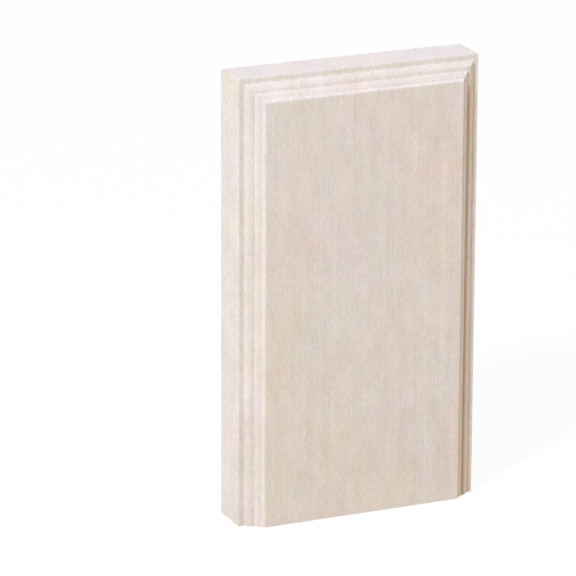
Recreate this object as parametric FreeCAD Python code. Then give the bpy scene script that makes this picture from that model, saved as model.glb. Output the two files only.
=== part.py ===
import FreeCAD, Part
import os
from math import atan2, radians, tan

from FreeCAD import Vector

# Plinth block: the plain wood block that ends a door casing at the floor.
# It is one piece of wood. A flat raised panel is bordered at its left, top and right by one
# moulding, cut into the front edges and mitred at the two top corners. The back, the outer
# edges and the bottom are sawn flat, and the moulding runs out at the bottom.
# Millimetres. +Z is up, the panel faces -Y, and the origin is the middle of the bottom.

# Overall size
block_height = 203.2
block_width = 114.3
block_thickness = 25.4

# Moulding, from the outer edge in: widths run across the face, rises run towards the front
flat_width = 2.1
cove_width = 0.9
cove_rise = 0.54
bead_width = 3.4
bead_rise = 2.05
ovolo_width = 2.6
ovolo_rise = 2.0
ovolo_start_angle = 58.0
shoulder_lean = 1.05
shoulder_rise = 1.6

# Eased corners
panel_arris_radius = 0.5
edge_arris_radius = 0.35

# Sizes that follow from those above
moulding_width = flat_width + cove_width + bead_width + ovolo_width + shoulder_lean
moulding_depth = cove_rise + bead_rise + ovolo_rise + shoulder_rise
edge_thickness = block_thickness - moulding_depth
back_y = block_thickness / 2
panel_y = -block_thickness / 2


def arc_from(start, heading, end):
    """Three points of the arc that leaves start at the heading and reaches end, and its last heading."""
    chord = end - start
    turn = 2 * (atan2(chord.y, chord.x) - heading)
    sagitta = chord.Length / 2 * tan(turn / 4)
    outward = Vector(chord.y, -chord.x, 0).normalize()
    middle = (start + end) / 2 + outward * sagitta
    return (start, middle, end), heading + turn


def eased_corner(before, corner, after, radius):
    """Three points of the arc that eases the corner between two straight runs."""
    back_along = (before - corner).normalize()
    on_along = (after - corner).normalize()
    half_angle = back_along.getAngle(on_along) / 2
    setback = radius / tan(half_angle)
    bisector = (back_along + on_along).normalize()
    to_centre = (setback ** 2 + radius ** 2) ** 0.5
    middle = corner + bisector * (to_centre - radius)
    return corner + back_along * setback, middle, corner + on_along * setback


def moulding_profile():
    """The moulding's runs from the back corner to the panel, as points of (inset, height off the back)."""
    back_corner = Vector(0, 0, 0)
    edge_corner = Vector(0, edge_thickness, 0)
    flat_end = edge_corner + Vector(flat_width, 0, 0)
    cove_end = flat_end + Vector(cove_width, cove_rise, 0)
    crease = cove_end + Vector(bead_width, bead_rise, 0)
    shoulder_foot = crease + Vector(ovolo_width, ovolo_rise, 0)
    panel_corner = shoulder_foot + Vector(shoulder_lean, shoulder_rise, 0)
    on_panel = panel_corner + Vector(moulding_width, 0, 0)

    edge_arris = eased_corner(back_corner, edge_corner, flat_end, edge_arris_radius)
    cove, cove_heading = arc_from(flat_end, 0, cove_end)
    bead, _ = arc_from(cove_end, cove_heading, crease)
    ovolo, _ = arc_from(crease, radians(ovolo_start_angle), shoulder_foot)
    panel_arris = eased_corner(shoulder_foot, panel_corner, on_panel, panel_arris_radius)
    return [
        (back_corner, edge_arris[0]),
        edge_arris,
        (edge_arris[-1], flat_end),
        cove,
        bead,
        ovolo,
        (shoulder_foot, panel_arris[0]),
        panel_arris,
    ]


def edges_along(profile, place):
    """Edges of the profile, each point put where place says."""
    edges = []
    for run in profile:
        points = [place(point.x, point.y) for point in run]
        curve = Part.Arc(*points) if len(points) == 3 else Part.LineSegment(*points)
        edges.append(curve.toShape())
    return edges


def closed_face(edges):
    """Face inside a closed loop of edges given in any order."""
    return Part.Face(Part.Wire(Part.sortEdges(edges)[0]))


def side_moulded_bar(profile):
    """Upright bar with the moulding on its left and right edges, as tall as the block."""
    def left(inset, height):
        return Vector(-block_width / 2 + inset, back_y - height, 0)

    def right(inset, height):
        return Vector(block_width / 2 - inset, back_y - height, 0)

    first = profile[0][0]
    last = profile[-1][-1]
    back = Part.LineSegment(left(first.x, first.y), right(first.x, first.y)).toShape()
    panel = Part.LineSegment(left(last.x, last.y), right(last.x, last.y)).toShape()
    section = closed_face(edges_along(profile, left) + edges_along(profile, right) + [back, panel])
    return section.extrude(Vector(0, 0, block_height))


def top_moulded_bar(profile):
    """Level bar with the moulding on its top edge, as wide as the block."""
    def top(inset, height):
        return Vector(-block_width / 2, back_y - height, block_height - inset)

    bottom_back = Vector(-block_width / 2, back_y, 0)
    bottom_front = Vector(-block_width / 2, panel_y, 0)
    first = profile[0][0]
    last = profile[-1][-1]
    back = Part.LineSegment(bottom_back, top(first.x, first.y)).toShape()
    panel = Part.LineSegment(top(last.x, last.y), bottom_front).toShape()
    bottom = Part.LineSegment(bottom_front, bottom_back).toShape()
    section = closed_face(edges_along(profile, top) + [back, panel, bottom])
    return section.extrude(Vector(block_width, 0, 0))


def plinth_block():
    """What the two moulded bars share, so the moulding meets itself in true mitres."""
    profile = moulding_profile()
    shared = side_moulded_bar(profile).common(top_moulded_bar(profile))
    return shared.removeSplitter().Solids[0]


os.makedirs("parts", exist_ok=True)
plinth_block().exportStep("parts/plinth_block.step")
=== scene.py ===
"""Looks of the plinth block: one piece of pale bare wood, its moulding, a white studio and the camera."""
from math import atan2, cos, radians, sin, tan

import bmesh
import bpy
from mathutils import Matrix, Vector


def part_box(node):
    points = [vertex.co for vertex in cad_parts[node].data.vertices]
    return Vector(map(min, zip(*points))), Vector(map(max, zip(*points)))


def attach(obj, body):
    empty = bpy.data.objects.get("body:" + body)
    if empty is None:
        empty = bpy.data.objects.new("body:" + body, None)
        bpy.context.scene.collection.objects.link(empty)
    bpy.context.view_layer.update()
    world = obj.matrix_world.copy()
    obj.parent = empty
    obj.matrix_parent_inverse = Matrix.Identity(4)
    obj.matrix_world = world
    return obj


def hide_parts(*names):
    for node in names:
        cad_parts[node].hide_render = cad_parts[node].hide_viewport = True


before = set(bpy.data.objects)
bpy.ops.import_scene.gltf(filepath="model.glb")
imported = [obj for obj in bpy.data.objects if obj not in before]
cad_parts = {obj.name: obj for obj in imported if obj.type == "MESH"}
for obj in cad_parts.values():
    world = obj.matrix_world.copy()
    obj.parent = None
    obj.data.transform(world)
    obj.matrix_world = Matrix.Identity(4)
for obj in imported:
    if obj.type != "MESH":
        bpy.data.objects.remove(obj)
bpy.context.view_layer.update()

MM = 0.001
NODE = "plinth_block"
PIECE = "plinth_block_wood"
SLOT = "bare_wood"
WHITE = (1, 1, 1, 1)

# Moulding, from the outer edge in, as the solid has it
FLAT_WIDTH = 2.1 * MM
COVE_WIDTH = 0.9 * MM
COVE_RISE = 0.54 * MM
BEAD_WIDTH = 3.4 * MM
BEAD_RISE = 2.05 * MM
OVOLO_WIDTH = 2.6 * MM
OVOLO_RISE = 2.0 * MM
OVOLO_START = radians(58)
SHOULDER_LEAN = 1.05 * MM
SHOULDER_RISE = 1.6 * MM
PANEL_ARRIS = 0.5 * MM
EDGE_ARRIS = 0.35 * MM
BACK_ARRIS = 0.25 * MM

# Straight steps that stand for each arc, and the angle from which an edge looks sharp
ARRIS_STEPS = 5
COVE_STEPS = 10
BEAD_STEPS = 12
OVOLO_STEPS = 14
SHARP_ANGLE = radians(28)

# Values that the mesh carries at each vertex
# Share of wear and painted highlight on the arrises, carried at each vertex
WEAR_AND_HIGHLIGHT_LAYER = "arris_wear_and_highlight"
# Share of painted shade beside the crease, carried at each vertex
CREASE_SHADE_LAYER = "painted_crease_shade"

# Camera, fitted to the photograph
CAMERA_AZIMUTH = radians(-24.06)
CAMERA_ELEVATION = radians(17.274)
CAMERA_ROLL = radians(0.233)
CAMERA_AIM = Vector((-30.69, 0, 104.79)) * MM
CAMERA_DISTANCE = 1.9666
CAMERA_LENS = 281.25
SENSOR_WIDTH = 36

# Lamps: a key at the upper left, soft lights from the left back, the right and the back, and the sky
LAMP_DISTANCE = 4.2
KEY_FROM = Vector((-0.632, -0.448, 0.632))
KEY_POWER = 155.0
KEY_COLOUR = (0.78, 0.84, 1.0)
KEY_SIZE = 0.36
RIM_FROM = Vector((-0.664, 0.664, 0.342))
RIM_STRENGTH = 0.72
RIM_COLOUR = (0.82, 0.91, 1.0)
FILL_FROM = Vector((0.925, -0.310, 0.220))
FILL_STRENGTH = 1.25
FILL_COLOUR = (1.0, 0.82, 0.62)
BACK_FROM = Vector((0.26, 0.96, 0.06))
BACK_STRENGTH = 0.65
BACK_COLOUR = (1.0, 0.90, 0.85)
SOFT_ANGLE = radians(60)
SKY_COLOUR = (0.41, 0.43, 0.50, 1)

# Floor: its side, what it sends back to the block, and how it looks
FLOOR_SIDE = 12
FLOOR_BOUNCE = (0.46, 0.40, 0.25, 1)
FLOOR_WHITE = (0.95, 0.95, 0.95, 1)
FLOOR_GLOW = 0.92

# Wood colours
WOOD_LOW = (0.703, 0.609, 0.536, 1)
WOOD_HIGH = (0.957, 0.859, 0.776, 1)
WOOD_PORE = (0.560, 0.445, 0.350, 1)
# Worn arris colour, lighter than the wood, partly a painted highlight
WORN_AND_HIGHLIT_WOOD = (0.930, 0.860, 0.790, 1)
# Painted shade: the dark brown laid in the crease where the block's own shade falls
PAINTED_CREASE_SHADE = (0.355, 0.235, 0.145, 1)

# Tints that the wood drifts between from place to place
TINT_GREY = (0.957, 1.000, 1.000, 1)
TINT_PINK = (1.000, 0.957, 0.970, 1)
TINT_COOL = (1.000, 1.000, 1.018, 1)
TINT_YELLOW = (1.000, 0.985, 0.892, 1)

# Tint of the fibres' cut ends, which take up a little more light than their sides. It also darkens every
# face that looks up, partly as painted shade that tones down the light from above.
TINT_ENDS_AND_TOP_SHADE = (0.960, 0.962, 0.975, 1)

# Width and length of each kind of mark in the grain, and how much wider marks are through the thickness
FLECK = (1.2 * MM, 1.8 * MM)
PORE = (0.45 * MM, 4.5 * MM)
STREAK = (0.9 * MM, 60 * MM)
BLOTCH = (7 * MM, 16 * MM)
PINK_DRIFT = (30 * MM, 45 * MM)
YELLOW_DRIFT = (38 * MM, 60 * MM)
EDGE_STRETCH = 2.2

# Finer marks on the marks of the grain, and how strong they are
GRAIN_DETAIL = 2
PORE_DETAIL = 1
GRAIN_ROUGHNESS = 0.55

# Span of the noise in the grain, and the part of each kind of mark in the wood's tone
GRAIN_LOW = 0.25
GRAIN_HIGH = 0.75
FLECK_SHARE = 0.4
STREAK_SHARE = 0.18
BLOTCH_SHARE = 0.3
RING_SHARE = 0.08

# Growth rings: spacing, slant, change up the block, and the shape of their wave
RING_SPACING = 2.6 * MM
RING_TURN = radians(70)
RING_CLIMB = 0.03
RING_SCALE = 0.32
RING_WANDER = 2.5
RING_DETAIL = 2
RING_DETAIL_SCALE = 0.6

# Drifts: where each starts in its noise, the finer marks on it, and the span of its noise
PINK_START = (85.1, 0, 121.9)
YELLOW_START = (62.9, 0, 90.1)
DRIFT_DETAIL = 5
DRIFT_ROUGHNESS = 0.85
DRIFT_LOW = 0.386
DRIFT_HIGH = 0.614

# Pores: the noise at which one opens and is deepest, and its share of the pore colour
PORE_OPENS = 0.6
PORE_DEEPEST = 0.75
PORE_SHARE = 0.35

# Edge wear, partly a painted highlight along the arrises: its reach beside an arris, its depth, and the
# span of the flecks that break it up
WEAR_AND_HIGHLIGHT_REACH = 0.9 * MM
WEAR_AND_HIGHLIGHT_DEPTH = 0.14
WEAR_AND_HIGHLIGHT_LOW = 0.2
WEAR_AND_HIGHLIGHT_HIGH = 0.6

# Painted shade in the crease, where the block's own shade falls: its reach from the crease over the bead,
# its depth, and the places where it starts and is full. It grows to the right and fades out near the top,
# where the key light reaches the crease.
CREASE_SHADE_REACH = 1.9 * MM
CREASE_SHADE_DEPTH = 0.75
CREASE_SHADE_STARTS_RIGHT_OF = 10 * MM
CREASE_SHADE_FULL_RIGHT_OF = 52 * MM
CREASE_SHADE_STARTS_BELOW = 192 * MM
CREASE_SHADE_FULL_BELOW = 185 * MM

# Surface: roughness along the streaks, shine, and the height of the grain
ROUGHNESS_LEAST = 0.58
ROUGHNESS_SPAN = 0.16
ROUGHNESS_LOW = 0.2
ROUGHNESS_HIGH = 0.8
SPECULAR_LEVEL = 0.2
BUMP_STRENGTH = 0.5
GRAIN_HEIGHT = 0.03 * MM

# Sockets of the node that mixes colours
MIX_SHARE = 0
MIX_FIRST = 6
MIX_SECOND = 7
MIX_RESULT = 2


def arc_from(start, heading, end, steps):
    """Points after start on the arc that leaves it at the heading and reaches end, and the last heading."""
    chord = end - start
    chord_angle = atan2(chord.y, chord.x)
    turn = 2 * (chord_angle - heading)
    radius = chord.length / (2 * sin(turn / 2))
    centre = start + Vector((-sin(heading), cos(heading))) * radius
    points = []
    for step in range(1, steps + 1):
        angle = heading + turn * step / steps
        points.append(centre - Vector((-sin(angle), cos(angle))) * radius)
    return points, heading + turn


def eased_corner(before, corner, after, radius):
    """Points of the arc that eases the corner between two straight runs."""
    back_along = (before - corner).normalized()
    on_along = (after - corner).normalized()
    setback = radius / tan(back_along.angle(on_along) / 2)
    start = corner + back_along * setback
    end = corner + on_along * setback
    heading = atan2(-back_along.y, -back_along.x)
    points, _ = arc_from(start, heading, end, ARRIS_STEPS)
    return [start] + points


def plain(points):
    """Points of the profile with no wear, no painted highlight and no painted crease shade."""
    return [(point, 0, 0) for point in points]


def worn_and_highlit(points):
    """Points of the profile on a worn arris, which also carries a painted highlight."""
    return [(point, 1, 0) for point in points]


def with_crease_shade(points, crease):
    """Points of the profile with the painted shade that lies near the crease."""
    return [(point, 0, max(0, 1 - (crease - point).length / CREASE_SHADE_REACH)) for point in points]


def moulding_profile(thickness):
    """Points of (inset, height off the back) from the back to the panel, each with its share of wear and
    painted highlight and its share of painted crease shade.
    """
    depth = COVE_RISE + BEAD_RISE + OVOLO_RISE + SHOULDER_RISE
    back_corner = Vector((0, 0))
    edge_corner = Vector((0, thickness - depth))
    flat_end = edge_corner + Vector((FLAT_WIDTH, 0))
    cove_end = flat_end + Vector((COVE_WIDTH, COVE_RISE))
    crease = cove_end + Vector((BEAD_WIDTH, BEAD_RISE))
    shoulder_foot = crease + Vector((OVOLO_WIDTH, OVOLO_RISE))
    panel_corner = shoulder_foot + Vector((SHOULDER_LEAN, SHOULDER_RISE))
    inward = Vector((1, 0))
    forward = Vector((0, 1))
    cove, heading = arc_from(flat_end, 0, cove_end, COVE_STEPS)
    bead, _ = arc_from(cove_end, heading, crease, BEAD_STEPS)
    ovolo, _ = arc_from(crease, OVOLO_START, shoulder_foot, OVOLO_STEPS)
    back_arris = eased_corner(back_corner + inward, back_corner, edge_corner, BACK_ARRIS)
    edge_arris = eased_corner(back_corner, edge_corner, flat_end, EDGE_ARRIS)
    panel_arris = eased_corner(shoulder_foot, panel_corner, panel_corner + inward, PANEL_ARRIS)

    profile = plain([back_arris[0] + inward * WEAR_AND_HIGHLIGHT_REACH])
    profile += worn_and_highlit(back_arris)
    profile += plain([back_arris[-1] + forward * WEAR_AND_HIGHLIGHT_REACH, edge_arris[0] - forward * WEAR_AND_HIGHLIGHT_REACH])
    profile += worn_and_highlit(edge_arris)
    profile += plain([edge_arris[-1] + inward * WEAR_AND_HIGHLIGHT_REACH, flat_end] + cove)
    # Painted shade over the bead beside the crease
    profile += with_crease_shade(bead, crease)
    profile += plain(ovolo)
    profile += worn_and_highlit(panel_arris)
    profile += plain([panel_arris[-1] + inward * WEAR_AND_HIGHLIGHT_REACH])
    return profile


def block_mesh(low, high):
    """Closed mesh of the block: the profile run up the left, along the top and down the right."""
    build = bmesh.new()
    wear_and_highlight_layer = build.verts.layers.float.new(WEAR_AND_HIGHLIGHT_LAYER)
    crease_shade_layer = build.verts.layers.float.new(CREASE_SHADE_LAYER)
    stations = []
    for point, wear_and_highlight, painted_shade in moulding_profile(high.y - low.y):
        inset = point.x
        depth = high.y - point.y
        corners = (
            (low.x + inset, depth, low.z),
            (low.x + inset, depth, high.z - inset),
            (high.x - inset, depth, high.z - inset),
            (high.x - inset, depth, low.z),
        )
        station = [build.verts.new(corner) for corner in corners]
        for vertex in station:
            vertex[wear_and_highlight_layer] = wear_and_highlight
            vertex[crease_shade_layer] = painted_shade
        stations.append(station)
    for outer, inner in zip(stations, stations[1:]):
        for run in range(len(outer) - 1):
            build.faces.new((outer[run], outer[run + 1], inner[run + 1], inner[run]))
    build.faces.new(stations[0])
    build.faces.new(stations[-1])
    left_foot = [station[0] for station in stations]
    right_foot = [station[-1] for station in stations]
    build.faces.new(left_foot + right_foot[::-1])
    bmesh.ops.recalc_face_normals(build, faces=build.faces)
    mesh = bpy.data.meshes.new(PIECE)
    build.to_mesh(mesh)
    build.free()
    mesh.shade_smooth()
    mesh.set_sharp_from_angle(angle=SHARP_ANGLE)
    return mesh


class Nodes:
    """Short calls that add nodes to one material or world and join them."""

    def __init__(self, owner):
        owner.use_nodes = True
        self.tree = owner.node_tree
        self.tree.nodes.clear()

    def add(self, kind, settings=None, sockets=None):
        """A node of that kind. A socket takes a value, or another node's output to join."""
        made = self.tree.nodes.new(kind)
        for name, value in (settings or {}).items():
            setattr(made, name, value)
        for name, value in (sockets or {}).items():
            if isinstance(value, bpy.types.NodeSocket):
                self.tree.links.new(value, made.inputs[name])
            else:
                made.inputs[name].default_value = value
        return made

    def maths(self, operation, first, second=0):
        """Sum, product or other reckoning of two values, or of one."""
        return self.add("ShaderNodeMath", {"operation": operation}, {0: first, 1: second}).outputs[0]

    def mix(self, share, first, second, blend="MIX"):
        """Colour that goes from the first to the second as the share goes from 0 to 1."""
        settings = {"data_type": "RGBA", "blend_type": blend}
        sockets = {MIX_SHARE: share, MIX_FIRST: first, MIX_SECOND: second}
        return self.add("ShaderNodeMix", settings, sockets).outputs[MIX_RESULT]

    def tint(self, colour, tint):
        """Colour multiplied by the tint."""
        return self.mix(1, colour, tint, "MULTIPLY")

    def spread(self, value, low, high, most=1):
        """Value stretched so that low gives 0 and high gives most."""
        sockets = {"Value": value, "From Min": low, "From Max": high, "To Max": most}
        return self.add("ShaderNodeMapRange", None, sockets).outputs[0]

    def axes(self, vector):
        """Outputs X, Y and Z of a vector."""
        return self.add("ShaderNodeSeparateXYZ", None, {"Vector": vector}).outputs

    def attribute(self, name):
        """Value that the mesh carries at each vertex."""
        return self.add("ShaderNodeAttribute", {"attribute_name": name}).outputs["Fac"]

    def grain(self, place, mark, detail, start=(0, 0, 0), roughness=GRAIN_ROUGHNESS):
        """Noise whose marks have that width across the grain and that length along it."""
        width, length = mark
        scale = (1 / width, 1 / (width * EDGE_STRETCH), 1 / length)
        mapping = {"Vector": place, "Scale": scale, "Location": start}
        stretched = self.add("ShaderNodeMapping", None, mapping).outputs[0]
        sockets = {"Vector": stretched, "Scale": 1, "Detail": detail, "Roughness": roughness}
        return self.add("ShaderNodeTexNoise", None, sockets).outputs[0]

    def drift(self, place, mark, start):
        """Slow change from place to place between 0 and 1, with finer marks on it."""
        noise = self.grain(place, mark, DRIFT_DETAIL, start, DRIFT_ROUGHNESS)
        return self.spread(noise, DRIFT_LOW, DRIFT_HIGH)


def background_rays(nodes):
    """1 for the rays that should see the white background, 0 for those that carry light."""
    path = nodes.add("ShaderNodeLightPath").outputs
    seen = nodes.maths("MAXIMUM", path["Is Camera Ray"], path["Is Glossy Ray"])
    return nodes.maths("MAXIMUM", seen, path["Is Transmission Ray"])


def growth_rings(nodes, place):
    """Bands of the yearly growth, which cross the block's thickness at a slant and run up its height."""
    turned = nodes.add("ShaderNodeMapping", None, {
        "Vector": place,
        "Rotation": (0, 0, RING_TURN),
        "Scale": (1 / RING_SPACING, 1 / RING_SPACING, RING_CLIMB / RING_SPACING),
    })
    wave = nodes.add("ShaderNodeTexWave", {"wave_profile": "SAW"}, {
        "Vector": turned.outputs[0],
        "Scale": RING_SCALE,
        "Distortion": RING_WANDER,
        "Detail": RING_DETAIL,
        "Detail Scale": RING_DETAIL_SCALE,
    })
    return wave.outputs["Fac"]


def grain_tone(nodes, place, fleck, streak):
    """How light the wood is at a place, from its flecks, streaks, blotches and rings."""
    blotch = nodes.grain(place, BLOTCH, GRAIN_DETAIL)
    tone = nodes.spread(growth_rings(nodes, place), 0, 1, RING_SHARE)
    for mark, share in ((fleck, FLECK_SHARE), (streak, STREAK_SHARE), (blotch, BLOTCH_SHARE)):
        tone = nodes.maths("ADD", tone, nodes.spread(mark, GRAIN_LOW, GRAIN_HIGH, share))
    return tone


def drift_tint(nodes, place):
    """Slow drifts of the wood's colour, between grey and pink and between cool and yellow."""
    pink = nodes.drift(place, PINK_DRIFT, PINK_START)
    yellow = nodes.drift(place, YELLOW_DRIFT, YELLOW_START)
    return nodes.tint(nodes.mix(pink, TINT_GREY, TINT_PINK), nodes.mix(yellow, TINT_COOL, TINT_YELLOW))


def end_and_top_shade_tint(nodes, normal):
    """Tint that grows as the surface turns from along the grain to across it; as the grain runs up the
    block, this darkens the faces that look up, partly as painted shade against the light from above.
    """
    across = nodes.maths("ABSOLUTE", nodes.axes(normal)["Z"])
    return nodes.mix(across, WHITE, TINT_ENDS_AND_TOP_SHADE)


def edge_wear_and_highlight(nodes, fleck):
    """Share of the worn colour along the arrises, partly wear and partly a painted highlight, broken up by
    the flecks.
    """
    broken = nodes.spread(fleck, WEAR_AND_HIGHLIGHT_LOW, WEAR_AND_HIGHLIGHT_HIGH, WEAR_AND_HIGHLIGHT_DEPTH)
    return nodes.maths("MULTIPLY", nodes.attribute(WEAR_AND_HIGHLIGHT_LAYER), broken)


def painted_crease_shade(nodes, place):
    """Share of the painted shade beside the crease, which grows to the right and below the top, where the
    crease lies in the block's own shade.
    """
    along = nodes.axes(place)
    rightward = nodes.spread(along["X"], CREASE_SHADE_STARTS_RIGHT_OF, CREASE_SHADE_FULL_RIGHT_OF, CREASE_SHADE_DEPTH)
    downward = nodes.spread(along["Z"], CREASE_SHADE_STARTS_BELOW, CREASE_SHADE_FULL_BELOW)
    shaded = nodes.maths("MULTIPLY", rightward, downward)
    return nodes.maths("MULTIPLY", nodes.attribute(CREASE_SHADE_LAYER), shaded)


def wood_material():
    """Pale bare hardwood: upright grain and pores, drifts of colour, worn arrises with a painted highlight,
    and painted shade in the crease.
    """
    material = bpy.data.materials.new(SLOT)
    nodes = Nodes(material)
    coordinates = nodes.add("ShaderNodeTexCoord").outputs
    place = coordinates["Object"]
    fleck = nodes.grain(place, FLECK, GRAIN_DETAIL)
    streak = nodes.grain(place, STREAK, GRAIN_DETAIL)
    pore = nodes.spread(nodes.grain(place, PORE, PORE_DETAIL), PORE_OPENS, PORE_DEEPEST)

    colour = nodes.mix(grain_tone(nodes, place, fleck, streak), WOOD_LOW, WOOD_HIGH)
    colour = nodes.tint(colour, drift_tint(nodes, place))
    # End-grain tint, partly painted shade on the faces that look up
    colour = nodes.tint(colour, end_and_top_shade_tint(nodes, coordinates["Normal"]))
    colour = nodes.mix(nodes.maths("MULTIPLY", pore, PORE_SHARE), colour, WOOD_PORE)
    # Worn arrises, partly a painted highlight
    colour = nodes.mix(edge_wear_and_highlight(nodes, fleck), colour, WORN_AND_HIGHLIT_WOOD)
    # Painted shade in the crease
    colour = nodes.mix(painted_crease_shade(nodes, place), colour, PAINTED_CREASE_SHADE)

    relief = nodes.maths("SUBTRACT", fleck, pore)
    bump = nodes.add("ShaderNodeBump", None,
                     {"Height": relief, "Strength": BUMP_STRENGTH, "Distance": GRAIN_HEIGHT})
    uneven = nodes.spread(streak, ROUGHNESS_LOW, ROUGHNESS_HIGH, ROUGHNESS_SPAN)
    shader = nodes.add("ShaderNodeBsdfPrincipled", None, {
        "Base Color": colour,
        "Roughness": nodes.maths("ADD", uneven, ROUGHNESS_LEAST),
        "Specular IOR Level": SPECULAR_LEVEL,
        "Normal": bump.outputs[0],
    })
    nodes.add("ShaderNodeOutputMaterial", None, {"Surface": shader.outputs[0]})
    return material


def add_block():
    """The dressed block in the solid's place."""
    low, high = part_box(NODE)
    block = bpy.data.objects.new(PIECE, block_mesh(low, high))
    bpy.context.scene.collection.objects.link(block)
    block.data.materials.append(wood_material())
    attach(block, "root")
    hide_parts(NODE)


def floor_material():
    """Floor that looks white and keeps the block's shadow, and lights the block as a pale floor would."""
    material = bpy.data.materials.new("white_floor")
    nodes = Nodes(material)
    bounce = nodes.add("ShaderNodeBsdfDiffuse", None, {"Color": FLOOR_BOUNCE})
    lit = nodes.add("ShaderNodeBsdfDiffuse", None, {"Color": FLOOR_WHITE})
    glow = nodes.add("ShaderNodeEmission", None, {"Color": WHITE, "Strength": 1.0})
    seen = nodes.add("ShaderNodeMixShader", None, {0: FLOOR_GLOW, 1: lit.outputs[0], 2: glow.outputs[0]})
    both = nodes.add("ShaderNodeMixShader", None,
                     {0: background_rays(nodes), 1: bounce.outputs[0], 2: seen.outputs[0]})
    nodes.add("ShaderNodeOutputMaterial", None, {"Surface": both.outputs[0]})
    return material


def add_floor():
    """Wide level floor under the block."""
    build = bmesh.new()
    bmesh.ops.create_grid(build, x_segments=1, y_segments=1, size=FLOOR_SIDE / 2)
    mesh = bpy.data.meshes.new("floor")
    build.to_mesh(mesh)
    build.free()
    mesh.materials.append(floor_material())
    floor = bpy.data.objects.new("floor", mesh)
    bpy.context.scene.collection.objects.link(floor)


def add_sky():
    """Soft light from all round, and white where the camera looks past the floor."""
    world = bpy.data.worlds.new("studio")
    bpy.context.scene.world = world
    nodes = Nodes(world)
    light = nodes.add("ShaderNodeBackground", None, {"Color": SKY_COLOUR, "Strength": 1.0})
    white = nodes.add("ShaderNodeBackground", None, {"Color": WHITE, "Strength": 1.0})
    both = nodes.add("ShaderNodeMixShader", None,
                     {0: background_rays(nodes), 1: light.outputs[0], 2: white.outputs[0]})
    nodes.add("ShaderNodeOutputWorld", None, {"Surface": both.outputs[0]})


def add_lamp(name, data, direction):
    """Lamp in that direction from the frame's origin, turned to it and out of the camera's sight."""
    lamp = bpy.data.objects.new(name, data)
    lamp.location = direction * LAMP_DISTANCE
    lamp.rotation_mode = "QUATERNION"
    lamp.rotation_quaternion = direction.to_track_quat("Z", "Y")
    lamp.visible_camera = False
    bpy.context.scene.collection.objects.link(lamp)


def add_key():
    """Round lamp near enough that the block's foot gets a little less light than its head."""
    lamp = bpy.data.lights.new("key", "AREA")
    lamp.shape = "DISK"
    lamp.size = KEY_SIZE
    lamp.energy = KEY_POWER
    lamp.color = KEY_COLOUR
    add_lamp("key", lamp, KEY_FROM)


def add_soft(name, direction, strength, colour):
    """Wide light with no hard shadow."""
    lamp = bpy.data.lights.new(name, "SUN")
    lamp.angle = SOFT_ANGLE
    lamp.energy = strength
    lamp.color = colour
    add_lamp(name, lamp, direction)


def add_camera():
    """Long lens at the photograph's angle, aimed so that the block sits right of the middle."""
    data = bpy.data.cameras.new("camera")
    data.lens = CAMERA_LENS
    data.sensor_width = SENSOR_WIDTH
    back = Vector((
        sin(CAMERA_AZIMUTH) * cos(CAMERA_ELEVATION),
        -cos(CAMERA_AZIMUTH) * cos(CAMERA_ELEVATION),
        sin(CAMERA_ELEVATION),
    ))
    turned = back.to_track_quat("Z", "Y").to_matrix() @ Matrix.Rotation(CAMERA_ROLL, 3, "Z")
    camera = bpy.data.objects.new("camera", data)
    camera.rotation_mode = "QUATERNION"
    camera.rotation_quaternion = turned.to_quaternion()
    camera.location = CAMERA_AIM + back * CAMERA_DISTANCE
    bpy.context.scene.collection.objects.link(camera)
    bpy.context.scene.camera = camera


bpy.context.scene.view_settings.view_transform = "Standard"
add_block()
add_floor()
add_sky()
add_key()
add_soft("rim", RIM_FROM, RIM_STRENGTH, RIM_COLOUR)
add_soft("fill", FILL_FROM, FILL_STRENGTH, FILL_COLOUR)
add_soft("back", BACK_FROM, BACK_STRENGTH, BACK_COLOUR)
add_camera()

bpy.context.view_layer.update()
